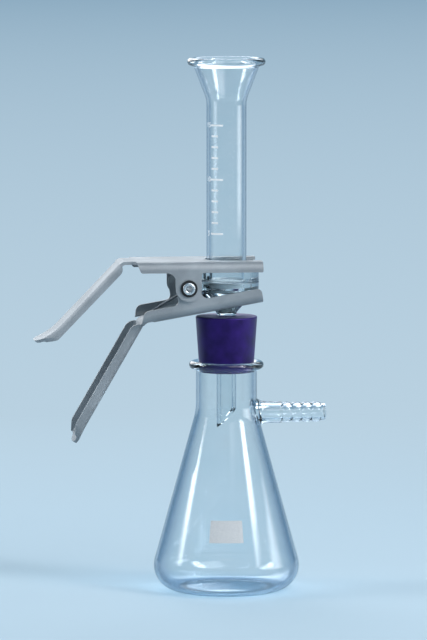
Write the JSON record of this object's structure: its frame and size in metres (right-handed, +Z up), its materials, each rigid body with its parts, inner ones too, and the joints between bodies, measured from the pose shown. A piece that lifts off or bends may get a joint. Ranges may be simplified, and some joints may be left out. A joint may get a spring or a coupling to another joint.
{
  "type": "vacuum filtration unit",
  "caption": "Glass vacuum filtration unit: flared funnel spring-clamped to a fritted base in a rubber stopper on a conical flask with a hose arm.",
  "frame": {"origin": "centre of the flask's foot, on the glass axis, at the surface it stands on", "axes": "+Z up the glass axis, +X along the hose arm, the clamp's handles towards -X, its front side to -Y"},
  "size_m": [0.136, 0.0676, 0.2474],
  "materials": {
    "flask_glass": "clear blown borosilicate glass",
    "base_glass": "clear borosilicate glass, ground joint face",
    "funnel_glass": "clear borosilicate glass, ground foot, white printed scale",
    "sintered_glass": "white sintered glass",
    "stopper_rubber": "dark violet moulded rubber, semi-gloss",
    "clamp_aluminium": "satin anodised pressed sheet",
    "rivet_steel": "bright rolled head",
    "washer_dark": "matt black",
    "spring_steel": "drawn spring wire"
  },
  "bodies": {
    "glass_stack": {"filter_flask": "flask_glass", "stopper": "stopper_rubber", "funnel_base": "base_glass", "frit_disc": "sintered_glass", "funnel": "funnel_glass", "upper_lever": "clamp_aluminium", "pivot_rivet": "rivet_steel", "front_washer": "washer_dark", "rear_washer": "washer_dark", "clamp_spring": "spring_steel"},
    "lower_jaw": {"lower_lever": "clamp_aluminium"}
  },
  "joints": [
    {"name": "clamp_pivot", "type": "hinge", "parent": "glass_stack", "child": "lower_jaw", "pos_m": [-0.0197, 0, 0.1424], "axis": [0, 1, 0], "range_deg": [0, 11], "stiffness_Nm_per_rad": 1.2, "springref_deg": -34.38, "deforming": ["clamp_spring"]}
  ]
}
